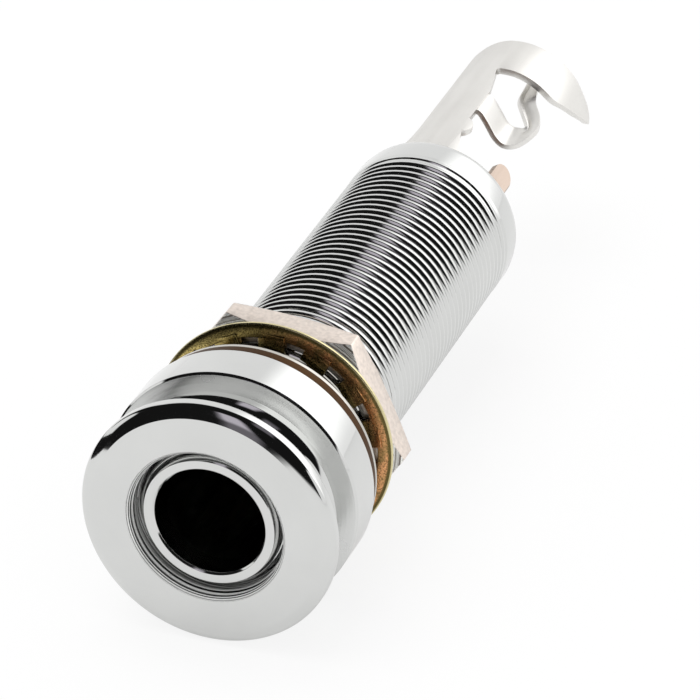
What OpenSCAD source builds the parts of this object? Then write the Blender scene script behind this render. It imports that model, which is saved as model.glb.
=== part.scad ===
// Quarter inch phone jack with a long threaded barrel and a strap button.
// Millimetres. The axis runs along Y, the plug goes in towards +Y, and the origin is at the bore's mouth.
// Angles round the axis are counted from +Z (top) towards +X (right).

/* [Plug bore] */
// Diameter of the plug bore
bore_d = 6.5; // [6.4:0.05:6.6]
// Length of the plug bore's straight wall
bore_len = 17; // [15:0.5:18]

/* [Barrel] */
// Outside diameter of the barrel's thread
barrel_d = 11.9; // [11.8:0.05:12]
// Outside diameter of the neck's thread
neck_d = 9.525; // [9.4:0.025:9.6]
// Distance from the bore's mouth to the step behind the neck
step_y = 8.3; // [8.1:0.1:8.8]
// Distance from the bore's mouth to the barrel's rear end
barrel_end = 40.9; // [40.6:0.1:41.4]
// Radius of the rolled rim at the rear
rim_r = 1.2; // [0.9:0.1:1.4]

/* [Strap button] */
// Diameter of the front flange
flange_d = 16.5; // [16:0.1:17]
// Thickness of the front flange
flange_t = 1.3; // [1.25:0.05:1.5]
// Diameter of the rear collar
collar_d = 16.3; // [15.9:0.1:16.5]
// Length of the strap button
button_len = 7.65; // [7.4:0.05:7.65]
// How far the front face stands before the bore's mouth
button_stand = 1.05; // [1.05:0.05:1.3]
// Depth of the groove for the strap, below the collar
groove_depth = 2.05; // [1.7:0.05:2.1]
// Radius of the groove's round corners
groove_r = 0.55; // [0.4:0.05:0.8]

/* [Washers and nut] */
// Diameter of the flat washer
flat_washer_d = 15.7; // [15:0.1:16]
// Thickness of the flat washer
flat_washer_t = 1.2; // [0.9:0.05:1.25]
// Diameter of the lock washer
lock_washer_d = 15.7; // [15.4:0.1:16]
// Place of the lock washer's front face
lock_washer_y = 10.25; // [9.9:0.05:10.3]
// Number of teeth on the lock washer
lock_teeth = 14; // [11:1:15]
// Twist of each tooth
tooth_twist = 7; // [5:1:14]
// Width of the nut across its flats
nut_flats = 14.3; // [14:0.05:14.6]
// Thickness of the nut
nut_t = 2.45; // [2.2:0.05:2.8]
// Angle of one nut corner from the top
nut_turn = 35; // [0:1:60]

/* [Cable clamp] */
// Angle of the terminal strip's middle from the top
strip_angle = -15; // [-17:1:-13]
// Width of the terminal strip
strip_w = 3.35; // [3.2:0.05:3.5]
// Distance from the bore's mouth to the rear edge of the clamp
clamp_end = 58.3; // [57.5:0.1:59]
// Width of the pointed clamp wing
wing_w = 4.25; // [4:0.05:4.5]
// Thickness of the terminal sheet
sheet_t = 0.45; // [0.4:0.05:0.45]

/* [Hidden] */
$fn = 96;
eps = 0.01;

// Radii of the turned parts
bore_r = bore_d / 2;
barrel_r = barrel_d / 2;
neck_r = neck_d / 2;
thread_gap = 0.05;

// Front end of the barrel
nose_y = -0.42;
nose_chamfer = 0.53;
bore_chamfer = 0.44;

// Hollow of the barrel and the stack of insulators and terminals in its rear end
cavity_r = 4.9;
stack_r = 5.1;
stack_part_r = 5.05;
stack_in_r = 4.45;
lip_r = 4.95;
spacer_t = 1.6;
plate_t = 0.4;
stack_y = 33;
ring_plate_y = stack_y + spacer_t;
middle_y = ring_plate_y + plate_t;
tip_plate_y = middle_y + spacer_t;
rear_y = tip_plate_y + plate_t;
base_y = 39.3;
base_t = 0.5;
lip_y = base_y + base_t + 0.05;

// Solder lugs
lug_out_r = 4.2;
lug_in_r = lug_out_r - plate_t;
lug_w = 1.7;
lug_clear = 0.15;
ring_lug_angle = 165;
ring_lug_end = 43.6;
tip_lug_angle = 60;
tip_lug_end = 45;

// Contact springs
leaf_t = 0.35;
leaf_w = 2;
leaf_root_r = 3.75;
leaf_bead_r = 0.26;
leaf_bead_w = leaf_w + 0.2;
leaf_dip_r = 2.75;
leaf_tail_r = 3.3;
ring_leaf_angle = 120;
tip_leaf_angle = -60;
ring_touch_y = 21;
tip_touch_y = 26.6;

// Terminal sheet, rolled to a cylinder round the axis
sheet_r = 4.85;
wing_angle = 40;
tab_t = 0.35;

// Places along the axis
button_y = -button_stand;
collar_y = 3.6;
button_end = button_y + button_len;
flat_washer_y = button_end + 0.03;
lock_washer_t = 0.5;
tooth_w = 1.8;
tooth_reach = tooth_w / 2 * sin(tooth_twist) + lock_washer_t / 2 * cos(tooth_twist);
nut_y = lock_washer_y + lock_washer_t / 2 + tooth_reach + 0.02;

// Turns what is made along +Z so that it lies along +Y from the given place
module along_axis(y = 0) {
    translate([0, y, 0]) rotate([-90, 0, 0]) children();
}

// A tube round the axis
module tube(r_in, r_out, y_from, y_to) {
    along_axis(y_from) difference() {
        cylinder(r = r_out, h = y_to - y_from);
        translate([0, 0, -1]) cylinder(r = r_in, h = y_to - y_from + 2);
    }
}

// The part of a tube that an outline covers, seen from outside at the given angle.
// The outline has X round the axis and Y along it.
module tube_piece(r_in, r_out, y_from, y_to, angle) {
    rotate([0, angle, 0]) intersection() {
        tube(r_in, r_out, y_from, y_to);
        linear_extrude(r_out + 1) children();
    }
}

// What is cut away to round a corner of a profile. The signs say which way the corner points.
module corner_cut(corner, r, sign_x, sign_y) {
    centre = [corner[0] - sign_x * r, corner[1] - sign_y * r];
    side = r + eps;
    difference() {
        translate([sign_x > 0 ? centre[0] : centre[0] - side, sign_y > 0 ? centre[1] : centre[1] - side])
            square(side);
        translate(centre) circle(r);
    }
}

// Smooth curve through a list of points, at a place counted in points
function curve_at(list, s) =
    let (last = len(list) - 1, i = max(0, min(floor(s), last - 1)), f = s - i,
         a = list[max(i - 1, 0)], b = list[i], c = list[i + 1], d = list[min(i + 2, last)])
    0.5 * ((2 * b) + (c - a) * f + (2 * a - 5 * b + 4 * c - d) * f * f + (3 * b - a - 3 * c + d) * f * f * f);

function unit(v) = v / norm(v);

// Step from a line's point to the face of a sheet of the given half thickness
function to_face(line, i, half) =
    let (last = len(line) - 1,
         before = i > 0 ? unit(line[i] - line[i - 1]) : unit(line[1] - line[0]),
         after = i < last ? unit(line[i + 1] - line[i]) : before,
         along = unit(before + after))
    [-along[1], along[0]] * half / (along * before);

// Section of a bent sheet along a list of points, each run divided into steps
module bent_sheet(points, t, steps) {
    line = [for (k = [0 : steps * (len(points) - 1)]) curve_at(points, k / steps)];
    last = len(line) - 1;
    polygon(concat([for (i = [0 : last]) line[i] + to_face(line, i, t / 2)],
                   [for (i = [last : -1 : 0]) line[i] - to_face(line, i, t / 2)]));
}

// Turned brass barrel: neck, thread diameter, plug bore, hollow and rolled rim
module barrel() {
    step_chamfer = 0.4;
    color("silver") along_axis() rotate_extrude() difference() {
        union() {
            translate([0, nose_y]) square([neck_r, step_y - nose_y + eps]);
            translate([0, step_y]) square([barrel_r, barrel_end - step_y]);
        }
        translate([-1, nose_y - 1]) square([bore_r + 1, barrel_end - nose_y + 2]);
        translate([0, bore_len]) square([cavity_r, barrel_end]);
        translate([0, stack_y]) square([stack_r, lip_y - stack_y]);
        translate([0, lip_y - eps]) square([lip_r, barrel_end]);
        polygon([[0, nose_y - eps], [bore_r + bore_chamfer, nose_y - eps], [bore_r, 0], [0, 0]]);
        polygon([[neck_r - nose_chamfer, nose_y - eps], [neck_r + 1, nose_y - eps],
                 [neck_r + 1, nose_y + nose_chamfer], [neck_r, nose_y + nose_chamfer]]);
        polygon([[barrel_r - step_chamfer, step_y - eps], [barrel_r + 1, step_y - eps],
                 [barrel_r + 1, step_y + step_chamfer], [barrel_r, step_y + step_chamfer]]);
        corner_cut([barrel_r, barrel_end], rim_r, 1, 1);
    }
}

// What is cut away for the strap: two round corners, a floor and two leaning walls
module strap_groove(floor_r, out_r, y_front, y_rear) {
    front_lean = 12;
    rear_lean = 12;
    inside = 0.02;
    near_r = groove_r - inside;
    centre_r = floor_r + groove_r;
    wall = out_r - centre_r;
    front = [centre_r, y_front + groove_r / cos(front_lean) + wall * tan(front_lean)];
    rear = [centre_r, y_rear - groove_r / cos(rear_lean) - wall * tan(rear_lean)];
    front_wall = front - near_r * [sin(front_lean), cos(front_lean)];
    rear_wall = rear - near_r * [sin(rear_lean), -cos(rear_lean)];
    reach = out_r + 1;
    translate(front) circle(groove_r);
    translate(rear) circle(groove_r);
    polygon([[floor_r + inside, front[1]], front_wall,
             [reach, front_wall[1] - (reach - front_wall[0]) * tan(front_lean)],
             [reach, rear_wall[1] + (reach - rear_wall[0]) * tan(rear_lean)],
             rear_wall, [floor_r + inside, rear[1]]]);
}

// Chromed spool with a groove for the strap and a threaded hole
module strap_button() {
    hole_r = neck_r + thread_gap;
    flange_r = flange_d / 2;
    collar_r = collar_d / 2;
    face_edge = 0.52;
    back_edge = 0.15;
    edge = 0.25;
    collar_bevel = 0.12;
    bevel_r = collar_r - collar_bevel;
    hole_chamfer = 0.38;
    flange_back = button_y + flange_t;
    color("gainsboro") along_axis() rotate_extrude() difference() {
        union() {
            translate([hole_r, button_y]) square([flange_r - hole_r, flange_t]);
            translate([hole_r, button_y]) square([collar_r - hole_r, button_len]);
        }
        strap_groove(collar_r - groove_depth, collar_r, flange_back, collar_y - collar_bevel);
        corner_cut([flange_r, button_y], face_edge, 1, -1);
        corner_cut([flange_r, flange_back], back_edge, 1, 1);
        polygon([[bevel_r, collar_y - collar_bevel], [bevel_r, flange_back + 1],
                 [collar_r + 1, flange_back + 1], [collar_r + 1, collar_y], [collar_r, collar_y]]);
        corner_cut([collar_r, button_end], edge, 1, 1);
        polygon([[hole_r - 1, button_y - eps], [hole_r + hole_chamfer, button_y - eps],
                 [hole_r, button_y + hole_chamfer], [hole_r - 1, button_y + hole_chamfer]]);
        polygon([[hole_r - 1, button_end + eps], [hole_r + hole_chamfer, button_end + eps],
                 [hole_r, button_end - hole_chamfer], [hole_r - 1, button_end - hole_chamfer]]);
    }
}

// Thin washer behind the strap button
module flat_washer() {
    edge = 0.15;
    play = 0.2;
    in_r = neck_r + play;
    out_r = flat_washer_d / 2;
    y_to = flat_washer_y + flat_washer_t;
    color("lightgray") along_axis() rotate_extrude() difference() {
        translate([in_r, flat_washer_y]) square([out_r - in_r, flat_washer_t]);
        corner_cut([out_r, flat_washer_y], edge, 1, -1);
        corner_cut([out_r, y_to], edge, 1, 1);
    }
}

// Lock washer with twisted internal teeth
module lock_washer() {
    out_r = lock_washer_d / 2;
    root_r = 6.95;
    tip_r = barrel_r + 0.1;
    edge = 0.2;
    middle = lock_washer_y + lock_washer_t / 2;
    joined = 0.3;
    color("goldenrod") {
        along_axis() rotate_extrude() difference() {
            translate([root_r, lock_washer_y]) square([out_r - root_r, lock_washer_t]);
            corner_cut([out_r, lock_washer_y], edge, 1, -1);
            corner_cut([out_r, lock_washer_y + lock_washer_t], edge, 1, 1);
        }
        difference() {
            for (i = [0 : lock_teeth - 1]) {
                angle = 360 * i / lock_teeth;
                rotate([0, angle, 0]) translate([0, middle, 0]) rotate([0, 0, -tooth_twist])
                    translate([-tooth_w / 2, -lock_washer_t / 2, tip_r - joined])
                        cube([tooth_w, lock_washer_t, root_r - tip_r + 2 * joined]);
            }
            along_axis(lock_washer_y - 2) cylinder(r = tip_r, h = 6);
        }
    }
}

// Hexagon nut, corners turned down on both faces
module hex_nut() {
    corner_r = nut_flats / sqrt(3);
    face_r = nut_flats / 2 - 0.1;
    front_drop = 0.75;
    rear_drop = 0.35;
    hole_r = barrel_r + thread_gap;
    hole_chamfer = 0.35;
    y_to = nut_y + nut_t;
    color("tan") difference() {
        intersection() {
            rotate([0, nut_turn, 0]) along_axis(nut_y) rotate([0, 0, 90])
                cylinder(r = corner_r, h = nut_t, $fn = 6);
            along_axis() rotate_extrude() polygon([
                [0, nut_y], [face_r, nut_y], [corner_r, nut_y + front_drop],
                [corner_r, y_to - rear_drop], [face_r, y_to], [0, y_to]]);
        }
        along_axis() rotate_extrude() polygon([
            [0, nut_y - 1], [hole_r + hole_chamfer + 1, nut_y - 1], [hole_r, nut_y + hole_chamfer],
            [hole_r, y_to - hole_chamfer], [hole_r + hole_chamfer + 1, y_to + 1], [0, y_to + 1]]);
    }
}

// Insulating tube in the barrel's hollow
module liner() {
    wall = 0.3;
    gap = 0.05;
    color("ivory") tube(cavity_r - gap - wall, cavity_r - gap, bore_len + 2 * gap, stack_y);
}

// Insulating ring on the barrel's inner step
module front_insulator() {
    color("saddlebrown") tube(stack_in_r, stack_part_r, stack_y, ring_plate_y);
}

// Insulating ring between the two contact terminals
module middle_insulator() {
    color("saddlebrown") tube(stack_in_r, stack_part_r, middle_y, tip_plate_y);
}

// Outline of a lug, or of the slot that it goes through
module lug_outline(y_from, y_to, spare = 0) {
    half = lug_w / 2 + spare;
    translate([-half, y_from]) square([2 * half, y_to - half - y_from]);
    translate([0, y_to - half]) circle(half);
}

// Contact plate: a ring with a foot for the spring and a solder lug that runs to the rear
module contact_terminal(plate_y, foot_angle, lug_angle, lug_end) {
    foot_in_r = lug_in_r - 0.2;
    foot_out_r = stack_in_r + 0.3;
    tube(stack_in_r, stack_part_r, plate_y, plate_y + plate_t);
    for (angle = [foot_angle, lug_angle])
        tube_piece(foot_in_r, foot_out_r, plate_y, plate_y + plate_t, angle)
            translate([-lug_w / 2, plate_y - 1]) square([lug_w, plate_t + 2]);
    tube_piece(lug_in_r, lug_out_r, plate_y, lug_end, lug_angle) lug_outline(plate_y, lug_end);
}

// Terminal of the plug's ring
module ring_terminal() {
    color("bisque") contact_terminal(ring_plate_y, ring_leaf_angle, ring_lug_angle, ring_lug_end);
}

// Terminal of the plug's tip
module tip_terminal() {
    color("bisque") contact_terminal(tip_plate_y, tip_leaf_angle, tip_lug_angle, tip_lug_end);
}

// Leaf spring that runs forward from a rolled root at its terminal's foot and dips to touch the plug
module contact_leaf(plate_y, touch_y, angle) {
    root = [plate_y - leaf_bead_r - eps, leaf_root_r];
    dip_len = 2.2;
    tail_len = 1.5;
    shoulder = [touch_y + dip_len, leaf_root_r - 0.1];
    touch = [touch_y, leaf_dip_r];
    tail = [touch_y - tail_len, leaf_tail_r];
    rotate([0, angle, 0]) rotate([90, 0, 90]) {
        translate([0, 0, -leaf_w / 2])
            linear_extrude(leaf_w) bent_sheet([root, shoulder, touch, tail], leaf_t, 1);
        translate([root[0], root[1], -leaf_bead_w / 2]) cylinder(r = leaf_bead_r, h = leaf_bead_w);
    }
}

// Contact spring of the plug's ring
module ring_spring() {
    color("lightsteelblue") contact_leaf(ring_plate_y, ring_touch_y, ring_leaf_angle);
}

// Contact spring of the plug's tip
module tip_spring() {
    color("lightsteelblue") contact_leaf(tip_plate_y, tip_touch_y, tip_leaf_angle);
}

// Insulating disc that closes the stack, with slots for the two lugs
module rear_insulator() {
    color("saddlebrown") difference() {
        along_axis(rear_y) cylinder(r = stack_part_r, h = base_y - rear_y);
        tube_piece(lug_in_r - lug_clear, lug_out_r + lug_clear, rear_y - 1, base_y + 1, ring_lug_angle)
            lug_outline(rear_y - 2, base_y + 4, lug_clear);
        tube_piece(lug_in_r - lug_clear, lug_out_r + lug_clear, rear_y - 1, base_y + 1, tip_lug_angle)
            lug_outline(rear_y - 2, base_y + 4, lug_clear);
    }
}

// Outline of the terminal strip: flared foot, straight run, bump on the right edge, round upper corner
module strip_outline() {
    half = strip_w / 2;
    foot_half = 2.65;
    flare_r = 8;
    flare_top = 45.5;
    bump_r = 1.1;
    bump_y = 45.3;
    corner_r = 2.2;
    taper = 0.37;
    taper_y = 50.3;
    taper_end = clamp_end - wing_w + 0.5;
    difference() {
        translate([-foot_half, base_y + 0.1]) square([2 * foot_half, flare_top - base_y - 0.1]);
        for (side = [-1, 1]) translate([side * (half + flare_r), flare_top]) circle(flare_r);
    }
    difference() {
        translate([-half, flare_top - eps]) square([strip_w, clamp_end - flare_top + 1]);
        corner_cut([-half, clamp_end + 0.05], corner_r, -1, 1);
        polygon([[half + 0.1, taper_y], [half - taper, taper_end - 1], [half - taper, taper_end],
                 [half + 0.1, taper_end]]);
    }
    translate([half + 0.5 - bump_r, bump_y]) circle(bump_r);
}

// Outline of the pointed wing, seen from its own middle angle
module wing_outline() {
    front = clamp_end - wing_w;
    from_x = -3.7;
    elbow_x = 1.15;
    bend_x = 3.1;
    tip_x = 4.4;
    polygon([[from_x, front], [elbow_x, front], [bend_x, front + 0.54 * wing_w], [tip_x, clamp_end - 0.1],
             [tip_x, clamp_end + 0.9], [from_x, clamp_end + 0.9]]);
}

// Flat part of the terminal, rolled round the axis: strip and wing in one sheet
module rolled_sheet() {
    tip_angle = 97;
    difference() {
        intersection() {
            rotate([0, 180, 0]) tube(sheet_r - sheet_t, sheet_r, base_y - 1, clamp_end);
            union() {
                rotate([0, strip_angle, 0]) translate([0, 0, 2]) linear_extrude(sheet_r) strip_outline();
                rotate([0, wing_angle, 0]) translate([0, 0, 1]) linear_extrude(sheet_r) wing_outline();
            }
        }
        rotate([0, tip_angle, 0]) translate([0, clamp_end - wing_w - 1, 1]) cube([4, wing_w + 2, sheet_r]);
    }
}

// Tab that goes down from the strip's edge and curls up again, in X and Z
tab_line = [[0.1, 4.62], [0.6, 4.5], [1.1, 3.8], [1.7, 2.8], [2.4, 2.28], [3.25, 2.25], [4, 2.65]];
tab_front = 47.75;
tab_rear = 50.2;
// Finger that runs on to the rear under the wing, in Y and Z
finger_line = [[49, 2.5], [50.5, 2.62], [52, 2.95], [53.5, 3.15], [55, 3.1]];
finger_outline = [[3.05, 49], [4.15, 49], [4.15, 50], [3.75, 51.5], [2.9, 53], [2.5, 54.8], [1.5, 54.8],
                  [1.6, 53], [2.4, 51.5], [3.05, 50]];
bend_steps = 4;

// Curled tab with its finger
module curled_tab() {
    corner = [tab_line[len(tab_line) - 1][0] + 0.3, tab_front];
    intersection() {
        translate([0, tab_rear, 0]) rotate([90, 0, 0])
            linear_extrude(tab_rear - tab_front) bent_sheet(tab_line, tab_t, bend_steps);
        linear_extrude(sheet_r + 1) difference() {
            translate([-1, tab_front - 1]) square([6, tab_rear - tab_front + 2]);
            corner_cut(corner, 1.2, 1, -1);
        }
    }
    intersection() {
        rotate([90, 0, 90]) linear_extrude(sheet_r) bent_sheet(finger_line, tab_t, bend_steps);
        linear_extrude(sheet_r + 1) polygon(finger_outline);
    }
}

// Sheet terminal of the plug's sleeve: base ring, strip, pointed wing and curled tab
module sleeve_terminal() {
    color("whitesmoke") {
        tube(stack_in_r, stack_part_r, base_y, base_y + base_t);
        rolled_sheet();
        curled_tab();
    }
}

barrel();
strap_button();
flat_washer();
lock_washer();
hex_nut();
liner();
front_insulator();
ring_terminal();
ring_spring();
middle_insulator();
tip_terminal();
tip_spring();
rear_insulator();
sleeve_terminal();
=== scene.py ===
"""Finished pieces and studio of a long barrel quarter inch phone jack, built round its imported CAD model.

Lengths are metres. The jack's axis is Y, the plug goes in towards +Y, and the bore's mouth is the origin.
Angles round the axis are counted from +Z (top) towards +X (right).
"""

import math

import bmesh
import bpy
from mathutils import Matrix, Vector


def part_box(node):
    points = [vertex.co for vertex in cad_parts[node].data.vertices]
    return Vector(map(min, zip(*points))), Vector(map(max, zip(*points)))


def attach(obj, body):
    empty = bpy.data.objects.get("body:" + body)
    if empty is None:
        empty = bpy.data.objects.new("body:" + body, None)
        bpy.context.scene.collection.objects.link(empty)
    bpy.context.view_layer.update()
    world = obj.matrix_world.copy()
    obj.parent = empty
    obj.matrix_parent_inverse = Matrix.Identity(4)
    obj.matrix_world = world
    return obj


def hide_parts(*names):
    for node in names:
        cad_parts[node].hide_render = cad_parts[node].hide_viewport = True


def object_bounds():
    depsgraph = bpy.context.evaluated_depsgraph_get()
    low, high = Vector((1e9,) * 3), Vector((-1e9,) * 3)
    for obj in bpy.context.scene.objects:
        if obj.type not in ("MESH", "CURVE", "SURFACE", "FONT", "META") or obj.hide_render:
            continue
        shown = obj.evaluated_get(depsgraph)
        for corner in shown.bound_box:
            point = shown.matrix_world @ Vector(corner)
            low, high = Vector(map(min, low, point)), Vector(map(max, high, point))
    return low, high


bl_info = {
    "name": "Long Barrel Phone Jack",
    "version": (1, 0, 0),
    "blender": (4, 5, 0),
    "location": "View3D > Sidebar > Jack",
    "description": "Builds the finished pieces and the studio of a long barrel quarter inch phone jack",
    "category": "Object",
}

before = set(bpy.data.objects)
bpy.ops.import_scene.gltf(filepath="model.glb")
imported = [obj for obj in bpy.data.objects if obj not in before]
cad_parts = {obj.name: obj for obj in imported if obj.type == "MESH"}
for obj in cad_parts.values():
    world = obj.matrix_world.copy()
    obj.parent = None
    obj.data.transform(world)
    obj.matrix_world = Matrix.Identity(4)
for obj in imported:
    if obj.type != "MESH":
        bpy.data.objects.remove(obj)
CAD_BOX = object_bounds()

MM = 0.001
INCH = 25.4 * MM

# Sizes read from the CAD parts
BARREL_LOW, BARREL_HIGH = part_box("barrel")
BUTTON_LOW, BUTTON_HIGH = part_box("strap_button")
FLAT_LOW, FLAT_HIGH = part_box("flat_washer")
LOCK_LOW, LOCK_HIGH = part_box("lock_washer")
STACK_LOW, STACK_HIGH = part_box("front_insulator")
SLEEVE_LOW, SLEEVE_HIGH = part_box("sleeve_terminal")
LINER_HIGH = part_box("liner")[1]
BARREL_R = BARREL_HIGH.x
FLANGE_R = BUTTON_HIGH.x
FLAT_R = FLAT_HIGH.x
LOCK_R = LOCK_HIGH.x

# Sizes inside the barrel and the strap button
CLEARANCE = 0.05 * MM
BORE_R = 3.25 * MM
BORE_END = 17 * MM
NECK_R = 9.525 / 2 * MM
STEP_Y = 8.3 * MM
NOSE_CHAMFER = 0.53 * MM
MOUTH_CHAMFER = 0.44 * MM
CAVITY_R = LINER_HIGH.x + CLEARANCE
STACK_R = STACK_HIGH.x + CLEARANCE
LIP_R = 4.95 * MM
BASE_T = 0.5 * MM
LIP_Y = SLEEVE_LOW.y + BASE_T + CLEARANCE
THREAD_END = 38.1 * MM
RIM_R = 1.2 * MM
COLLAR_R = 8.15 * MM
BUTTON_HOLE_R = NECK_R + CLEARANCE

# Terminal sheet, rolled round the axis
SHEET_R = 4.85 * MM
SHEET_T = 0.45 * MM
TAB_T = 0.35 * MM

# Limits between which most of a noise lies
NOISE_LOW, NOISE_HIGH = 0.3, 0.7

# Tones that the light tent shows in reflections
DARK_TONE = Vector((0.01, 0.01, 0.01))
POLE_TONE = Vector((0.62, 0.58, 0.65))
BEAM_TONE = Vector((0.15, 0.14, 0.16))

# Camera of the product view
CAMERA_PLACE = Vector((0.10157, -0.25155, 0.16749))
CAMERA_AZIMUTH = math.radians(20.217)
CAMERA_ELEVATION = math.radians(29.87)
CAMERA_LENS = 271.38
SENSOR = 36.0


class JackSizes(bpy.types.PropertyGroup):
    """Sizes of the threads and of the softened edges."""

    barrel_pitch: bpy.props.FloatProperty(
        name="Barrel pitch", description="Pitch of the barrel's thread",
        default=INCH / 36, unit="LENGTH")
    barrel_thread: bpy.props.FloatProperty(
        name="Barrel thread height", description="Height of the barrel's thread",
        default=0.34 * MM, unit="LENGTH")
    neck_pitch: bpy.props.FloatProperty(
        name="Neck pitch", description="Pitch of the thread on the neck and in the strap button",
        default=INCH / 32, unit="LENGTH")
    neck_thread: bpy.props.FloatProperty(
        name="Neck thread height", description="Height of the thread on the neck and in the strap button",
        default=0.28 * MM, unit="LENGTH")
    sheet_edge: bpy.props.FloatProperty(
        name="Sheet edge", description="Width of the softened edges of stamped sheet",
        default=0.07 * MM, unit="LENGTH")
    lock_teeth: bpy.props.IntProperty(
        name="Lock teeth", description="Number of teeth on the lock washer", default=14, min=3)
    tooth_twist: bpy.props.FloatProperty(
        name="Tooth twist", description="Twist of each tooth of the lock washer",
        default=math.radians(7), subtype="ANGLE")


def colour_property(label, meaning, value):
    """A colour that a user may change."""
    return bpy.props.FloatVectorProperty(
        name=label, description=meaning, default=value, size=4, min=0, max=1, subtype="COLOR")


class JackColours(bpy.types.PropertyGroup):
    """Base colours of the finishes."""

    chrome: colour_property("Chrome", "Barrel and strap button", (0.655, 0.66, 0.65, 1))
    nickel: colour_property("Nickel", "Flat washer", (0.56, 0.54, 0.50, 1))
    # A very dark brown for the front part of the flat washer's rim, rougher and uneven.
    dark_brown_rim: colour_property("Dark rim", "Rim of the flat washer", (0.075, 0.035, 0.012, 1))
    # The lock washer's gold, olive and copper are its own hues; their layout by side is partly painted
    # light.
    zinc: colour_property("Yellow zinc", "Lock washer", (0.95, 0.75, 0.28, 1))
    # Olive, darkened, is also the lock washer's painted shade.
    zinc_olive: colour_property("Zinc olive", "Olive patches on the lock washer", (0.27, 0.21, 0.075, 1))
    zinc_copper: colour_property("Zinc copper", "Copper patches on the lock washer", (0.85, 0.42, 0.19, 1))
    # Painted highlight: the pale colour of the lock washer's rim.
    zinc_rim_highlight: colour_property("Zinc rim", "Rim of the lock washer", (0.70, 0.62, 0.36, 1))
    satin: colour_property("Satin nickel", "Hex nut", (0.80, 0.71, 0.64, 1))
    tin: colour_property("Tin plate", "Sleeve terminal", (0.80, 0.785, 0.755, 1))
    lug: colour_property("Lug plate", "Solder lugs", (0.50, 0.405, 0.34, 1))
    spring: colour_property("Spring metal", "Contact springs", (0.66, 0.64, 0.60, 1))
    phenolic: colour_property("Phenolic", "Insulators", (0.16, 0.07, 0.03, 1))
    plastic: colour_property("Clear plastic", "Liner", (0.80, 0.78, 0.72, 1))


def rounded(corners, steps=5):
    """Points of a closed outline whose corners, each (x, y, radius), are rounded."""
    nearly_straight = math.radians(89.5)
    points = []
    for i, (x, y, radius) in enumerate(corners):
        corner = Vector((x, y))
        before = (Vector(corners[i - 1][:2]) - corner).normalized()
        after = (Vector(corners[(i + 1) % len(corners)][:2]) - corner).normalized()
        half = before.angle(after) / 2
        if radius <= 0 or half > nearly_straight:
            points.append(corner)
            continue
        centre = corner + (before + after).normalized() * radius / math.sin(half)
        start = corner + before * radius / math.tan(half) - centre
        turn = start.angle_signed(corner + after * radius / math.tan(half) - centre)
        for k in range(steps + 1):
            angle = -turn * k / steps
            points.append(centre + Matrix.Rotation(angle, 2) @ start)
    return points


def arc(centre, radius, from_angle, to_angle, steps):
    """Corners, with no rounding of their own, along an arc. Angles are degrees from +x towards +y."""
    corners = []
    for k in range(steps + 1):
        angle = math.radians(from_angle + (to_angle - from_angle) * k / steps)
        corners.append((centre[0] + radius * math.cos(angle), centre[1] + radius * math.sin(angle), 0))
    return corners


def ramp(low, high, value):
    """Smooth step from 0 at low to 1 at high."""
    share = min(1, max(0, (value - low) / (high - low)))
    return share * share * (3 - 2 * share)


def round_axis(radius, angle, y):
    """The point at that radius and angle round the axis."""
    return Vector((radius * math.sin(angle), y, radius * math.cos(angle)))


def add_turned(bm, profile, segments=144):
    """Adds the ring that a closed profile of (radius, y) sweeps round the axis."""
    rings = []
    for k in range(segments):
        angle = 2 * math.pi * k / segments
        rings.append([bm.verts.new(round_axis(r, angle, y)) for r, y in profile])
    made = []
    for k, ring in enumerate(rings):
        beside = rings[(k + 1) % segments]
        for i in range(len(profile)):
            j = (i + 1) % len(profile)
            made.append(bm.faces.new((ring[i], ring[j], beside[j], beside[i])))
    bmesh.ops.recalc_face_normals(bm, faces=made)


def add_mesh(bm, mesh):
    """Adds a mesh to one that is being built, and removes it."""
    bm.from_mesh(mesh)
    bpy.data.meshes.remove(mesh)


def finished_mesh(bm, name, *materials, sharp=35):
    """The mesh of a piece, shaded smooth but for edges sharper than an angle in degrees."""
    mesh = bpy.data.meshes.new(name)
    bm.to_mesh(mesh)
    bm.free()
    mesh.shade_smooth()
    mesh.set_sharp_from_angle(angle=math.radians(sharp))
    for material in materials:
        mesh.materials.append(material)
    return mesh


def paint(bm, number, chosen):
    """Gives a material, by its number, to the faces that are chosen by radius, y and normal."""
    for face in bm.faces:
        middle = face.calc_center_median()
        if chosen(math.hypot(middle.x, middle.z), middle.y, face.normal):
            face.material_index = number


def linked_object(data, name):
    """A new object of the scene that shows a mesh, a lamp or a camera."""
    obj = bpy.data.objects.new(name, data)
    bpy.context.scene.collection.objects.link(obj)
    return obj


def place_piece(mesh, name, body, nodes):
    """Makes a piece of a mesh: it rides on a body and stands for CAD nodes."""
    piece = linked_object(mesh, name)
    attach(piece, body)
    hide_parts(*nodes)


def baked_mesh(obj):
    """The plain mesh that an object's modifiers give. The object is removed."""
    graph = bpy.context.evaluated_depsgraph_get()
    mesh = bpy.data.meshes.new_from_object(obj.evaluated_get(graph))
    before = obj.data
    bpy.data.objects.remove(obj)
    bpy.data.meshes.remove(before)
    return mesh


def new_tree(name, inputs):
    """A Geometry Nodes tree with a geometry input and output and named inputs, each (name, kind)."""
    tree = bpy.data.node_groups.new(name, "GeometryNodeTree")
    tree.interface.new_socket("Geometry", in_out="INPUT", socket_type="NodeSocketGeometry")
    tree.interface.new_socket("Geometry", in_out="OUTPUT", socket_type="NodeSocketGeometry")
    for label, kind in inputs:
        tree.interface.new_socket(label, in_out="INPUT", socket_type="NodeSocket" + kind)
    return tree, tree.nodes.new("NodeGroupInput"), tree.nodes.new("NodeGroupOutput")


def add_node(tree, kind, values=None, **settings):
    """A node with its settings, and its inputs set to values or linked to other nodes' outputs."""
    node = tree.nodes.new(kind)
    for key, value in settings.items():
        setattr(node, key, value)
    for key, value in (values or {}).items():
        if isinstance(value, bpy.types.NodeSocket):
            tree.links.new(value, node.inputs[key])
        else:
            node.inputs[key].default_value = value
    return node


def calculate(tree, operation, *operands):
    """The output of a Math node."""
    return add_node(tree, "ShaderNodeMath", dict(enumerate(operands)), operation=operation).outputs[0]


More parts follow.
